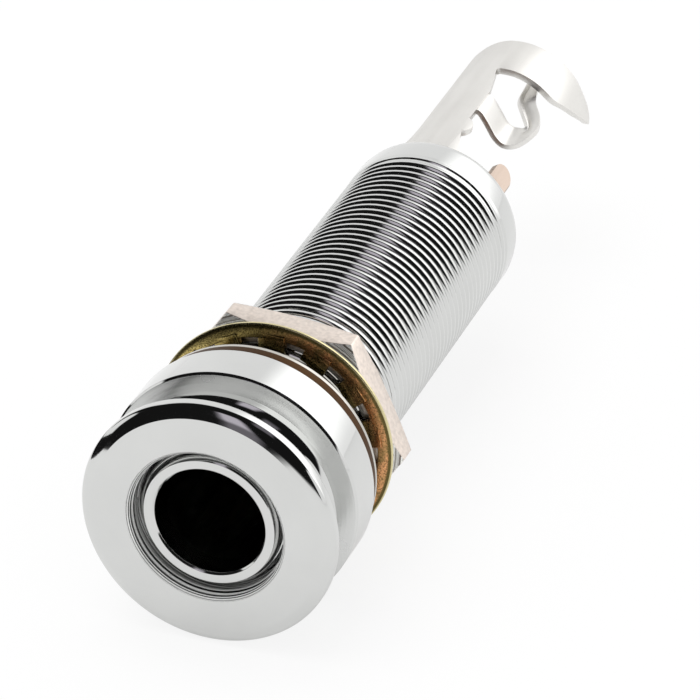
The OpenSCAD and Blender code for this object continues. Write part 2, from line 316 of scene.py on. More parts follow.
def thread_tree():
    """Tree that sweeps a rounded ridge along a helix round the axis."""
    name = "helical_thread"
    if name in bpy.data.node_groups:
        return bpy.data.node_groups[name]
    tree, given, result = new_tree(name, [
        ("Root Radius", "Float"), ("Height", "Float"), ("Pitch", "Float"), ("Start", "Float"),
        ("Length", "Float"), ("Inward", "Bool"), ("Steps", "Int"), ("Material", "Material")])
    flank = math.tan(math.radians(30))
    crest_share = 0.36
    crest_rounding = 0.3
    overlap = 0.2
    crest = calculate(tree, "MULTIPLY", given.outputs["Pitch"], crest_share)
    tall = calculate(tree, "MULTIPLY", given.outputs["Height"], 1 + overlap)
    base = calculate(tree, "MULTIPLY_ADD", tall, 2 * flank, crest)
    ridge = add_node(tree, "GeometryNodeCurvePrimitiveQuadrilateral", {
        "Height": tall, "Bottom Width": base, "Top Width": crest, "Offset": 0.0}, mode="TRAPEZOID")
    lift = calculate(tree, "MULTIPLY", given.outputs["Height"], (1 - overlap) / 2)
    raised = add_node(tree, "GeometryNodeTransform", {
        "Geometry": ridge.outputs["Curve"],
        "Translation": add_node(tree, "ShaderNodeCombineXYZ", {"Y": lift}).outputs[0]})
    side = add_node(tree, "GeometryNodeSwitch", {
        "Switch": given.outputs["Inward"], "False": math.pi / 2, "True": -math.pi / 2}, input_type="FLOAT")
    turned = add_node(tree, "GeometryNodeTransform", {
        "Geometry": raised.outputs["Geometry"],
        "Rotation": add_node(tree, "FunctionNodeAxisAngleToRotation", {
            "Axis": (0, 0, 1), "Angle": side.outputs[0]}).outputs[0]})
    profile = add_node(tree, "GeometryNodeFilletCurve", {
        "Curve": turned.outputs["Geometry"], "Count": 2,
        "Radius": calculate(tree, "MULTIPLY", crest, crest_rounding)}, mode="POLY")
    turns = calculate(tree, "DIVIDE", given.outputs["Length"], given.outputs["Pitch"])
    root = given.outputs["Root Radius"]
    helix = add_node(tree, "GeometryNodeCurveSpiral", {
        "Resolution": given.outputs["Steps"], "Rotations": turns, "Start Radius": root, "End Radius": root,
        "Height": given.outputs["Length"]})
    upright = add_node(tree, "GeometryNodeSetCurveNormal", {"Curve": helix.outputs["Curve"]}, mode="Z_UP")
    along = add_node(tree, "GeometryNodeSplineParameter").outputs["Factor"]
    to_end = calculate(tree, "PINGPONG", along, 0.5)
    run_out = calculate(tree, "MINIMUM", calculate(tree, "MULTIPLY", to_end, turns), 1.0)
    swept = add_node(tree, "GeometryNodeCurveToMesh", {
        "Curve": upright.outputs["Curve"], "Profile Curve": profile.outputs["Curve"],
        "Scale": run_out, "Fill Caps": True})
    laid = add_node(tree, "GeometryNodeTransform", {
        "Geometry": swept.outputs["Mesh"], "Rotation": (-math.pi / 2, 0, 0),
        "Translation": add_node(tree, "ShaderNodeCombineXYZ", {"Y": given.outputs["Start"]}).outputs[0]})
    real = add_node(tree, "GeometryNodeRealizeInstances", {"Geometry": laid.outputs["Geometry"]})
    painted = add_node(tree, "GeometryNodeSetMaterial", {
        "Geometry": real.outputs["Geometry"], "Material": given.outputs["Material"]})
    tree.links.new(painted.outputs["Geometry"], result.inputs["Geometry"])
    return tree


def copies_tree():
    """Tree that repeats what it is given at even angles round the axis."""
    name = "copies_round_axis"
    if name in bpy.data.node_groups:
        return bpy.data.node_groups[name]
    tree, given, result = new_tree(name, [("Count", "Int"), ("Material", "Material")])
    points = add_node(tree, "GeometryNodePoints", {"Count": given.outputs["Count"]})
    step = calculate(tree, "DIVIDE", 2 * math.pi, given.outputs["Count"])
    angle = calculate(tree, "MULTIPLY", add_node(tree, "GeometryNodeInputIndex").outputs[0], step)
    turn = add_node(tree, "FunctionNodeAxisAngleToRotation", {"Axis": (0, 1, 0), "Angle": angle})
    copies = add_node(tree, "GeometryNodeInstanceOnPoints", {
        "Points": points.outputs["Points"], "Instance": given.outputs["Geometry"],
        "Rotation": turn.outputs["Rotation"]})
    real = add_node(tree, "GeometryNodeRealizeInstances", {"Geometry": copies.outputs["Instances"]})
    painted = add_node(tree, "GeometryNodeSetMaterial", {
        "Geometry": real.outputs["Geometry"], "Material": given.outputs["Material"]})
    tree.links.new(painted.outputs["Geometry"], result.inputs["Geometry"])
    return tree


def grown_mesh(tree, mesh, values):
    """The plain mesh that a Geometry Nodes tree makes of a mesh, with its named inputs set to values."""
    obj = linked_object(mesh, "grown")
    modifier = obj.modifiers.new("Nodes", "NODES")
    modifier.node_group = tree
    for socket in tree.interface.items_tree:
        if socket.in_out == "INPUT" and socket.name in values:
            modifier[socket.identifier] = values[socket.name]
    return baked_mesh(obj)


def thread_mesh(root_radius, height, pitch, start, length, material, inward=False):
    """The mesh of a helical thread."""
    steps_per_turn = 72
    return grown_mesh(thread_tree(), bpy.data.meshes.new("thread"), {
        "Root Radius": root_radius, "Height": height, "Pitch": pitch, "Start": start, "Length": length,
        "Inward": inward, "Steps": steps_per_turn, "Material": material})


def new_material(name):
    """A new material, its shader and its node tree."""
    material = bpy.data.materials.new(name)
    material.use_nodes = True
    return material, material.node_tree.nodes["Principled BSDF"], material.node_tree


def object_place(tree):
    """Object coordinates as one vector."""
    return add_node(tree, "ShaderNodeTexCoord").outputs["Object"]


def object_parts(tree):
    """Object coordinates as X, Y and Z."""
    return add_node(tree, "ShaderNodeSeparateXYZ", {"Vector": object_place(tree)}).outputs


def from_axis(tree):
    """Distance from the jack's axis."""
    parts = object_parts(tree)
    across = add_node(tree, "ShaderNodeCombineXYZ", {"X": parts["X"], "Z": parts["Z"]})
    length = add_node(tree, "ShaderNodeVectorMath", {0: across.outputs[0]}, operation="LENGTH")
    return length.outputs["Value"]


def turning_lines(tree, per_metre, detail=2.0):
    """Value that changes only along the axis and outward from it, as the lines of a lathe tool do."""
    y_share = -0.7
    path = calculate(tree, "MULTIPLY_ADD", object_parts(tree)["Y"], y_share, from_axis(tree))
    noise = add_node(tree, "ShaderNodeTexNoise", {"W": path, "Scale": per_metre, "Detail": detail},
                     noise_dimensions="1D")
    return noise.outputs["Fac"]


def mottle(tree, per_metre, detail=3.0, stretch=(1, 1, 1)):
    """Cloudy value on Object coordinates."""
    mapped = add_node(tree, "ShaderNodeMapping", {"Vector": object_place(tree), "Scale": stretch})
    noise = add_node(tree, "ShaderNodeTexNoise", {
        "Vector": mapped.outputs["Vector"], "Scale": per_metre, "Detail": detail})
    return noise.outputs["Fac"]


def between(tree, noise, low, high):
    """A noise, stretched to go from low to high."""
    return add_node(tree, "ShaderNodeMapRange", {
        "Value": noise, "From Min": NOISE_LOW, "From Max": NOISE_HIGH, "To Min": low,
        "To Max": high}).outputs["Result"]


def stretched(tree, value, from_low, from_high):
    """A value between two limits, stretched to go from 0 to 1."""
    return add_node(tree, "ShaderNodeMapRange", {
        "Value": value, "From Min": from_low, "From Max": from_high}).outputs["Result"]


def blend(tree, value, first, second):
    """Colour between two, by a value from 0 to 1."""
    mix = add_node(tree, "ShaderNodeMix", {0: value, 6: first, 7: second}, data_type="RGBA")
    return mix.outputs[2]


def bumped(tree, shader, height, distance, strength):
    """Gives the shader a bump."""
    bump = add_node(tree, "ShaderNodeBump", {"Height": height, "Distance": distance, "Strength": strength})
    tree.links.new(bump.outputs["Normal"], shader.inputs["Normal"])


def shade(colour, factor):
    """A colour made darker or lighter."""
    return tuple(min(1, part * factor) for part in colour[:3]) + (1,)


def turned_metal(name, colour, rough, lines_per_metre, line_strength, unevenness=0.06):
    """Plated metal, turned on a lathe: fine rings, slight clouding of its gloss and its tone."""
    material, shader, tree = new_material(name)
    shader.inputs["Metallic"].default_value = 1.0
    cloud = mottle(tree, per_metre=260, detail=4.0)
    lines = turning_lines(tree, lines_per_metre)
    tone = blend(tree, cloud, shade(colour, 1 - unevenness), shade(colour, 1 + unevenness))
    tree.links.new(tone, shader.inputs["Base Color"])
    tree.links.new(between(tree, cloud, rough[0], rough[1]), shader.inputs["Roughness"])
    bumped(tree, shader, lines, distance=0.004 * MM, strength=line_strength)
    return material


def lathe_lines_with_glints(name, colour, metallic, rough, lines_per_metre, dark):
    """Plated metal with fine lathe lines, whose dark and pale colour is painted reflection: glints and dark
    reflections on the lines.
    """
    light = 1.5
    material, shader, tree = new_material(name)
    shader.inputs["Metallic"].default_value = metallic
    lathe_glint_lines = between(tree, turning_lines(tree, lines_per_metre, detail=4.0), low=-0.9, high=2.1)
    patches = mottle(tree, per_metre=900, detail=4.0)
    # Painted reflection: the lines run from near black to pale in colour, as glints and dark reflections on
    # the lathe lines.
    tone = blend(tree, lathe_glint_lines, shade(colour, dark), shade(colour, light))
    tree.links.new(tone, shader.inputs["Base Color"])
    tree.links.new(between(tree, patches, rough[0], rough[1]), shader.inputs["Roughness"])
    bumped(tree, shader, lathe_glint_lines, distance=0.03 * MM, strength=0.9)
    return material


def zinc_with_painted_light(colours):
    """Yellow chromated zinc with painted light. Its gold, olive and copper hues are its own, but their
    layout by side is partly painted light: bright gold at the left, darker olive across the middle. By
    radius it has painted shade and highlight: darker olive inside, a dark band near the edge, a pale rim.
    """
    cloud_reach = 4 * MM
    gold_to, olive_from = -3 * MM, 2 * MM
    olive_to, copper_from = 1.5 * MM, 4 * MM
    inside_to, ridge_from = LOCK_R - 1.5 * MM, LOCK_R - 0.75 * MM
    ridge_to, line_from = LOCK_R - 0.32 * MM, LOCK_R - 0.22 * MM
    line_to, rim_from = LOCK_R - 0.1 * MM, LOCK_R - 0.05 * MM
    gold = tuple(colours.zinc)
    olive = tuple(colours.zinc_olive)
    material, shader, tree = new_material("yellow_zinc_painted_light")
    shader.inputs["Metallic"].default_value = 1.0
    radius = from_axis(tree)
    cloud = mottle(tree, per_metre=420, detail=3.0)
    across = calculate(tree, "MULTIPLY_ADD", cloud, cloud_reach, object_parts(tree)["X"])
    spots = between(tree, mottle(tree, per_metre=1300, detail=4.0), low=-0.2, high=0.9)
    grain = mottle(tree, per_metre=11000, detail=3.0)
    # Layout by side, partly painted light: bright gold at the left, darker olive across the middle, copper
    # at the right.
    left = blend(tree, stretched(tree, across, gold_to, olive_from), gold, olive)
    right = blend(tree, spots, tuple(colours.zinc_copper), olive)
    tone = blend(tree, stretched(tree, across, olive_to, copper_from), left, right)
    # By radius, painted shade and highlight of the dished ring: darker olive inside, a dark band near the
    # edge, a pale rim.
    ridge = blend(tree, stretched(tree, radius, inside_to, ridge_from), shade(olive, 0.7), tone)
    painted_shade_band = blend(tree, stretched(tree, radius, ridge_to, line_from), ridge, shade(olive, 0.5))
    grained = blend(tree, between(tree, grain, low=-0.25, high=0.9), painted_shade_band, shade(olive, 0.35))
    painted_rim_highlight = blend(tree, stretched(tree, radius, line_to, rim_from), grained, tuple(colours.zinc_rim_highlight))
    tree.links.new(painted_rim_highlight, shader.inputs["Base Color"])
    tree.links.new(between(tree, grain, low=0.18, high=0.3), shader.inputs["Roughness"])
    bumped(tree, shader, grain, distance=0.02 * MM, strength=0.3)
    return material


def satin_finish(colours):
    """Satin nickel of the nut: brushed grain and turned rings."""
    material, shader, tree = new_material("satin_nickel_finish")
    shader.inputs["Metallic"].default_value = 1.0
    grain = mottle(tree, per_metre=2600, detail=4.0, stretch=(1, 0.12, 1))
    speckle = between(tree, mottle(tree, per_metre=3800, detail=4.0), low=0.0, high=1.0)
    tone = blend(tree, speckle, shade(colours.satin, 0.88), shade(colours.satin, 1.1))
    relief = calculate(tree, "ADD", grain, turning_lines(tree, per_metre=7000))
    tree.links.new(tone, shader.inputs["Base Color"])
    tree.links.new(between(tree, grain, low=0.3, high=0.42), shader.inputs["Roughness"])
    bumped(tree, shader, relief, distance=0.012 * MM, strength=0.35)
    return material


def sheet_finish(name, colour, rough):
    """Plated sheet metal with a faint rolled grain along the part."""
    material, shader, tree = new_material(name)
    shader.inputs["Metallic"].default_value = 1.0
    grain = mottle(tree, per_metre=1500, detail=3.0, stretch=(1, 0.08, 1))
    cloud = mottle(tree, per_metre=300, detail=3.0)
    tone = blend(tree, cloud, shade(colour, 0.93), shade(colour, 1.06))
    tree.links.new(tone, shader.inputs["Base Color"])
    tree.links.new(between(tree, grain, rough[0], rough[1]), shader.inputs["Roughness"])
    bumped(tree, shader, grain, distance=0.006 * MM, strength=0.2)
    return material


def phenolic_finish(colours):
    """Brown phenolic paper board: layers across the axis and short fibres."""
    material, shader, tree = new_material("phenolic_finish")
    layers = turning_lines(tree, per_metre=5000)
    fibres = mottle(tree, per_metre=1800, detail=4.0, stretch=(1, 0.2, 1))
    tone = blend(tree, fibres, shade(colours.phenolic, 0.7), shade(colours.phenolic, 1.4))
    tree.links.new(tone, shader.inputs["Base Color"])
    tree.links.new(between(tree, fibres, low=0.42, high=0.58), shader.inputs["Roughness"])
    bumped(tree, shader, layers, distance=0.01 * MM, strength=0.3)
    return material


def plastic_finish(colours):
    """Clear, slightly cloudy plastic tube."""
    material, shader, tree = new_material("clear_plastic_finish")
    shader.inputs["Transmission Weight"].default_value = 0.7
    shader.inputs["IOR"].default_value = 1.49
    cloud = mottle(tree, per_metre=700, detail=3.0)
    tone = blend(tree, cloud, shade(colours.plastic, 0.94), shade(colours.plastic, 1.05))
    tree.links.new(tone, shader.inputs["Base Color"])
    tree.links.new(between(tree, cloud, low=0.16, high=0.3), shader.inputs["Roughness"])
    return material


class JACK_OT_barrel(bpy.types.Operator):
    """Make the barrel: neck, long fine thread, rolled rim and hollow"""

    bl_idname = "jack.barrel"
    bl_label = "Barrel"

    def execute(self, context):
        sizes = context.scene.jack_sizes
        chrome = turned_metal("barrel_chrome", context.scene.jack_colours.chrome, rough=(0.05, 0.11),
                              lines_per_metre=9000, line_strength=0.05)
        crest_gap = 0.02 * MM
        root_r = BARREL_R - sizes.barrel_thread - crest_gap
        neck_root_r = NECK_R - sizes.neck_thread
        nose = BARREL_LOW.y
        rear = BARREL_HIGH.y
        chamfer = 0.4 * MM
        soft = 0.06 * MM
        lip = 0.12 * MM
        mouth_y = nose + 1.3 * MM
        mouth_round = 0.2 * MM
        run_out = 2 * sizes.barrel_pitch
        profile = rounded([
            (BORE_R + MOUTH_CHAMFER, nose, soft), (NECK_R - NOSE_CHAMFER, nose, soft),
            (neck_root_r, nose + NOSE_CHAMFER - sizes.neck_thread, 0), (neck_root_r, STEP_Y, 0),
            (BARREL_R - chamfer, STEP_Y, soft), (root_r, STEP_Y + chamfer - sizes.barrel_thread, 0),
            (root_r, THREAD_END - run_out, 0), (BARREL_R, THREAD_END, soft),
            (BARREL_R, rear, RIM_R), (LIP_R, rear, soft), (LIP_R, LIP_Y, 0), (STACK_R, LIP_Y, 0),
            (STACK_R, STACK_LOW.y, 0), (CAVITY_R, STACK_LOW.y, 0), (CAVITY_R, BORE_END, 0),
            (BORE_R, BORE_END, soft), (BORE_R, mouth_y, mouth_round),
            (BORE_R + MOUTH_CHAMFER - lip, nose + lip, soft)])
        bm = bmesh.new()
        add_turned(bm, profile)
        add_mesh(bm, thread_mesh(root_r, sizes.barrel_thread, sizes.barrel_pitch, STEP_Y + chamfer,
                                 THREAD_END - STEP_Y - chamfer + sizes.barrel_pitch, chrome))
        add_mesh(bm, thread_mesh(neck_root_r, sizes.neck_thread, sizes.neck_pitch, nose + NOSE_CHAMFER,
                                 STEP_Y - nose - NOSE_CHAMFER - sizes.neck_pitch / 2, chrome))
        mesh = finished_mesh(bm, "threaded_barrel", chrome)
        place_piece(mesh, "threaded_barrel", "barrel", ["barrel"])
        return {"FINISHED"}


class JACK_OT_strap_button(bpy.types.Operator):
    """Make the strap button: flange, groove, collar and threaded hole"""

    bl_idname = "jack.strap_button"
    bl_label = "Strap button"

    def execute(self, context):
        sizes = context.scene.jack_sizes
        plating = context.scene.jack_colours.chrome
        chrome = turned_metal("button_chrome", plating, rough=(0.04, 0.09), lines_per_metre=7000,
                              line_strength=0.07)
        # Painted reflection in the hole: dark and pale lathe lines in the colour, as glints and dark
        # reflections.
        hole_chrome = lathe_lines_with_glints("hole_chrome", plating, metallic=0.35, rough=(0.12, 0.26),
                                  lines_per_metre=6500, dark=0.05)
        wall_chrome = turned_metal("wall_chrome", plating, rough=(0.16, 0.3), lines_per_metre=5000,
                                   line_strength=0.5)
        front = BUTTON_LOW.y
        rear = BUTTON_HIGH.y
        hole_thread = 0.14 * MM
        hole_r = BUTTON_HOLE_R + hole_thread
        mouth = 0.24 * MM
        face_bevel = 0.8 * MM
        bevel_depth = 0.42 * MM
        bevel_bulge = 0.38 * bevel_depth
        bevel_round = 1.5 * MM
        face_edge = 0.5 * MM
        back_edge = 0.35 * MM
        flange_y = front + 1.3 * MM
        floor_r = COLLAR_R - 1.95 * MM
        groove_r = 1.0 * MM
        lean = math.tan(math.radians(12))
        collar_y = 3.6 * MM
        collar_bevel = 0.12 * MM
        bevel_r = COLLAR_R - collar_bevel
        wall_y = collar_y - collar_bevel
        edge = 0.25 * MM
        soft = 0.05 * MM
        wall_facing = -0.965
        profile = rounded([
            (hole_r + mouth, front, soft), (FLANGE_R - face_bevel, front, soft),
            (FLANGE_R - face_bevel / 2, front + bevel_bulge, bevel_round),
            (FLANGE_R, front + bevel_depth, face_edge),
            (FLANGE_R, flange_y - (FLANGE_R - COLLAR_R) * lean, back_edge),
            (floor_r, flange_y + (COLLAR_R - floor_r) * lean, groove_r),
            (floor_r, wall_y - (COLLAR_R - floor_r) * lean, groove_r),
            (bevel_r, wall_y - collar_bevel * lean, soft), (COLLAR_R, collar_y, soft),
            (COLLAR_R, rear, edge), (hole_r, rear, soft), (hole_r, front + mouth, soft)], steps=8)
        bm = bmesh.new()
        add_turned(bm, profile, segments=192)
        start = front + 1.2 * mouth
        length = rear - start - 0.3 * MM
        add_mesh(bm, thread_mesh(hole_r, hole_thread, sizes.neck_pitch, start, length, chrome, inward=True))
        paint(bm, 1, lambda radius, y, normal: radius < hole_r + mouth)
        paint(bm, 2, lambda radius, y, normal: flange_y < y < collar_y and normal.y < wall_facing)
        mesh = finished_mesh(bm, "turned_button", chrome, hole_chrome, wall_chrome)
        place_piece(mesh, "turned_button", "strap_button", ["strap_button"])
        return {"FINISHED"}


class JACK_OT_flat_washer(bpy.types.Operator):
    """Make the flat washer"""

    bl_idname = "jack.flat_washer"
    bl_label = "Flat washer"

    def execute(self, context):
        colours = context.scene.jack_colours
        nickel = turned_metal("washer_nickel", colours.nickel, rough=(0.10, 0.2), lines_per_metre=5000,
                              line_strength=0.3)
        # The front part of the rim is very dark brown, rougher and uneven.
        dark_brown_rim = turned_metal("dark_brown_rim_metal", colours.dark_brown_rim, rough=(0.34, 0.5), lines_per_metre=4000,
                            line_strength=0.6, unevenness=0.7)
        inner = NECK_R + 0.2 * MM
        edge = 0.15 * MM
        soft = 0.05 * MM
        rim_to = FLAT_HIGH.y - 2.4 * edge
        profile = rounded([
            (inner, FLAT_LOW.y, soft), (FLAT_R, FLAT_LOW.y, edge), (FLAT_R, rim_to, 0),
            (FLAT_R, FLAT_HIGH.y, edge), (inner, FLAT_HIGH.y, soft)])
        bm = bmesh.new()
        add_turned(bm, profile)
        paint(bm, 1, lambda radius, y, normal: radius > FLAT_R - edge and y < rim_to)
        mesh = finished_mesh(bm, "stamped_washer", nickel, dark_brown_rim)
        place_piece(mesh, "stamped_washer", "flat_washer", ["flat_washer"])
        return {"FINISHED"}


class JACK_OT_lock_washer(bpy.types.Operator):
    """Make the lock washer: ring and twisted inner teeth"""

    bl_idname = "jack.lock_washer"
    bl_label = "Lock washer"

    def execute(self, context):
        sizes = context.scene.jack_sizes
        zinc = zinc_with_painted_light(context.scene.jack_colours)
        thickness = 0.5 * MM
        middle = (LOCK_LOW.y + LOCK_HIGH.y) / 2
        root_r = 6.95 * MM
        tip_r = BARREL_R + 0.1 * MM
        tooth_w = 1.8 * MM
        tooth_t = 0.94 * thickness
        overlap = 0.3 * MM
        edge = 0.06 * MM
        tooth = bmesh.new()
        bmesh.ops.create_cube(tooth, size=1)
        length = root_r - tip_r + overlap
        bmesh.ops.scale(tooth, vec=(tooth_w, tooth_t, length), verts=tooth.verts)
        bmesh.ops.translate(tooth, vec=(0, 0, tip_r + length / 2), verts=tooth.verts)
        bmesh.ops.bevel(tooth, geom=tooth.edges[:], offset=edge, segments=2, profile=0.5, affect="EDGES")
        twist = Matrix.Rotation(-sizes.tooth_twist, 4, "Z")
        bmesh.ops.transform(tooth, matrix=Matrix.Translation((0, middle, 0)) @ twist, verts=tooth.verts)
        one = bpy.data.meshes.new("one_tooth")
        tooth.to_mesh(one)
        tooth.free()
        half = thickness / 2
        dish = 0.28 * MM
        profile = rounded([
            (root_r, middle - half, edge), (LOCK_R, middle - half + dish, edge),
            (LOCK_R, middle + half, edge), (root_r, middle + half, edge)])
        bm = bmesh.new()
        add_turned(bm, profile)
        add_mesh(bm, grown_mesh(copies_tree(), one, {"Count": sizes.lock_teeth, "Material": zinc}))
        mesh = finished_mesh(bm, "toothed_washer", zinc)
        place_piece(mesh, "toothed_washer", "lock_washer", ["lock_washer"])
        return {"FINISHED"}


def softened_copy(node, edge):
    """A merged copy of a CAD node's mesh with softened edges."""
    merge_within = 0.0005 * MM
    flat_within = math.radians(0.4)
    bm = bmesh.new()
    bm.from_mesh(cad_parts[node].data)
    bmesh.ops.remove_doubles(bm, verts=bm.verts, dist=merge_within)
    bmesh.ops.dissolve_limit(bm, angle_limit=flat_within, verts=bm.verts, edges=bm.edges)
    mesh = bpy.data.meshes.new(node + "_soft")
    bm.to_mesh(mesh)
    bm.free()
    obj = linked_object(mesh, node + "_soft")
    bevel = obj.modifiers.new("Bevel", "BEVEL")
    bevel.width = edge
    bevel.segments = 2
    bevel.limit_method = "ANGLE"
    bevel.angle_limit = math.radians(40)
    bevel.use_clamp_overlap = True
    return baked_mesh(obj)


def place_softened(node, name, body, material, edge, corners=None):
    """Makes a piece of a CAD node with softened edges. Its slanted faces may have a material of their own,
    such as lathe lines with painted glints.
    """
    least_slant, most_slant = 0.3, 0.97
    bm = bmesh.new()
    add_mesh(bm, softened_copy(node, edge))
    materials = [material]
    if corners:
        materials.append(corners)
        paint(bm, 1, lambda radius, y, normal: least_slant < abs(normal.y) < most_slant)
    mesh = finished_mesh(bm, name, *materials, sharp=30)
    place_piece(mesh, name, body, [node])


class JACK_OT_nut(bpy.types.Operator):
    """Make the hex nut"""

    bl_idname = "jack.nut"
    bl_label = "Hex nut"

    def execute(self, context):
        colours = context.scene.jack_colours
        edge = 0.07 * MM
        satin = satin_finish(colours)
        # Painted reflection on the nut's turned corners: pale and dark lathe lines in the colour stand for
        # glints.
        corners = lathe_lines_with_glints("corner_glint_lines", colours.satin, metallic=0.8, rough=(0.3, 0.42),
                              lines_per_metre=16000, dark=0.3)
        place_softened("hex_nut", "satin_nut", "hex_nut", satin, edge, corners)
        return {"FINISHED"}


def smooth_line(points, steps):
    """Points of a smooth curve through a list of points."""
    line = []
    last = len(points) - 1
    for i in range(last):
        a, b = points[max(i - 1, 0)], points[i]
        c, d = points[i + 1], points[min(i + 2, last)]
        for k in range(steps):
            f = k / steps
            line.append(0.5 * (2 * b + (c - a) * f + (2 * a - 5 * b + 4 * c - d) * f ** 2
                               + (3 * b - a - 3 * c + d) * f ** 3))
    line.append(points[-1])
    return line


def thickened(bm, name, thickness, offset, edge):
    """Sheet metal of a surface: it gets its thickness and softened edges."""
    mesh = bpy.data.meshes.new(name)
    bm.to_mesh(mesh)
    bm.free()
    obj = linked_object(mesh, name)
    wall = obj.modifiers.new("Wall", "SOLIDIFY")
    wall.thickness = thickness
    wall.offset = offset
    wall.use_even_offset = True
    bevel = obj.modifiers.new("Bevel", "BEVEL")
    bevel.width = edge
    bevel.segments = 3
    bevel.limit_method = "ANGLE"
    bevel.angle_limit = math.radians(50)
    return baked_mesh(obj)


def rolled_sheet(edge):
    """Strip and pointed wing of the sleeve terminal: a flat outline rolled round the axis.

    The outline has millimetres round the axis from the top, and millimetres along it.
    """
    foot = SLEEVE_LOW.y / MM + 0.1
    end = SLEEVE_HIGH.y / MM
    front = end - 4.25
    left, right = -2.98, 0.44
    foot_left, foot_right = -4.07, 1.53
    narrow = -0.25
    tip = 8.2
    flare_top, flare_r = 45.5, 7.25
    bump_r, bump_out = 1.1, 0.545
    slice_w = 0.22
    spread, spread_from = 0.25 * MM, 5.5
    outline = rounded(
        [(foot_left, foot, 0), (foot_right, foot, 0)]
        + arc((right + flare_r, flare_top), flare_r, 212, 188.4, 8)
        + arc((right + bump_out - bump_r, flare_top - 0.2), bump_r, -55, 61, 8)
        + [(right, 50.6, 3.0), (narrow, front - 0.1, 0.25), (1.0, front, 1.0), (4.4, front, 1.6),
           (6.65, front + 2.2, 2.5), (tip, end - 0.15, 0.05), (tip, end, 0.1), (left, end, 2.2)]
        + arc((left - flare_r, flare_top), flare_r, 0, -32, 8))
    bm = bmesh.new()
    bm.faces.new([bm.verts.new((x, y, 0)) for x, y in outline])
    slices = int((tip - foot_left) / slice_w)
    for k in range(1, slices):
        bmesh.ops.bisect_plane(bm, geom=bm.verts[:] + bm.edges[:] + bm.faces[:],
                               plane_co=(foot_left + k * slice_w, 0, 0), plane_no=(1, 0, 0))
    for vert in bm.verts:
        out = spread * ramp(spread_from, tip, vert.co.x)
        vert.co = round_axis(SHEET_R + out, vert.co.x * MM / SHEET_R, vert.co.y * MM)
    bmesh.ops.recalc_face_normals(bm, faces=bm.faces)
    if sum((face.calc_center_median().z * face.normal.z for face in bm.faces), 0.0) < 0:
        bmesh.ops.reverse_faces(bm, faces=bm.faces)
    return thickened(bm, "rolled_sheet", SHEET_T, -1, edge)


def curled_tab(edge):
    """Tab that goes down from the strip's edge, curls up and runs to the rear under the wing."""
    front, rear = 47.75, 50.2
    outer = [(0.1, front, 4.62), (0.6, front, 4.5), (1.1, front, 3.8), (1.7, front, 2.8),
             (2.35, front + 0.05, 2.28), (3.15, front + 0.4, 2.25), (3.75, front + 1.3, 2.5),
             (4.0, 50.2, 2.68), (3.7, 51.5, 2.88), (2.9, 53.0, 3.1), (2.5, 54.6, 3.2), (2.4, 56.0, 3.3)]
    inner = [(0.1, rear, 4.62), (0.6, rear, 4.5), (1.1, rear, 3.8), (1.7, rear, 2.8), (2.2, rear, 2.45),
             (2.6, rear, 2.42), (2.95, rear + 0.05, 2.45), (3.0, rear + 0.4, 2.6), (2.4, 51.6, 2.85),
             (1.65, 53.0, 3.1), (1.5, 54.6, 3.2), (1.45, 56.0, 3.3)]
    steps = 5
    across = 8
    crease = 0.2 * MM
    crease_at, crease_w = 0.7, 0.3
    crease_from, crease_full = 5, 7
    outer_line = smooth_line([Vector(p) * MM for p in outer], steps)
    inner_line = smooth_line([Vector(p) * MM for p in inner], steps)
    bm = bmesh.new()
    rows = []
    for i, (a, b) in enumerate(zip(outer_line, inner_line)):
        depth = crease * ramp(crease_from, crease_full, i / steps)
        row = []
        for k in range(across + 1):
            share = k / across
            sunk = depth * (1 - ramp(0, crease_w, abs(share - crease_at)))
            row.append(bm.verts.new(a.lerp(b, share) - Vector((0, 0, sunk))))
        rows.append(row)
    for row, beside in zip(rows, rows[1:]):
        for k in range(across):
            bm.faces.new((row[k], row[k + 1], beside[k + 1], beside[k]))
    bmesh.ops.recalc_face_normals(bm, faces=bm.faces)
    return thickened(bm, "curled_tab", TAB_T, 0, edge)


class JACK_OT_sleeve_terminal(bpy.types.Operator):
    """Make the sleeve terminal: base ring, rolled strip with its wing, curled tab"""

    bl_idname = "jack.sleeve_terminal"
    bl_label = "Sleeve terminal"

    def execute(self, context):
        sizes = context.scene.jack_sizes
        tin = sheet_finish("tin_plate_finish", context.scene.jack_colours.tin, rough=(0.3, 0.42))
        base = SLEEVE_LOW.y
        top = base + BASE_T
        ring_r = STACK_HIGH.x
        hole_r = 4.45 * MM
        bm = bmesh.new()
        add_turned(bm, [(hole_r, base), (ring_r, base), (ring_r, top), (hole_r, top)])
        add_mesh(bm, rolled_sheet(sizes.sheet_edge))
        add_mesh(bm, curled_tab(sizes.sheet_edge))
        mesh = finished_mesh(bm, "clamp_terminal", tin)
        place_piece(mesh, "clamp_terminal", "barrel", ["sleeve_terminal"])
        return {"FINISHED"}


class JACK_OT_contacts(bpy.types.Operator):
    """Make the contact terminals and their springs"""

    bl_idname = "jack.contacts"
    bl_label = "Contacts"

    def execute(self, context):
        colours = context.scene.jack_colours
        plate = sheet_finish("lug_plate_finish", colours.lug, rough=(0.22, 0.36))
        leaf = sheet_finish("spring_metal_finish", colours.spring, rough=(0.16, 0.28))
        edge = 0.05 * MM
        place_softened("ring_terminal", "ring_lug", "barrel", plate, edge)
        place_softened("tip_terminal", "tip_lug", "barrel", plate, edge)
        place_softened("ring_spring", "ring_leaf", "ring_spring", leaf, edge)
        place_softened("tip_spring", "tip_leaf", "tip_spring", leaf, edge)
        return {"FINISHED"}


class JACK_OT_insulators(bpy.types.Operator):
    """Finish the insulators and the liner"""

    bl_idname = "jack.insulators"
    bl_label = "Insulators"

    def execute(self, context):
        colours = context.scene.jack_colours
        phenolic = phenolic_finish(colours)
        edge = 0.06 * MM
        for node in ("front_insulator", "middle_insulator", "rear_insulator"):
            place_softened(node, node.replace("insulator", "board"), "barrel", phenolic, edge)
        place_softened("liner", "liner_tube", "barrel", plastic_finish(colours), edge)
        return {"FINISHED"}


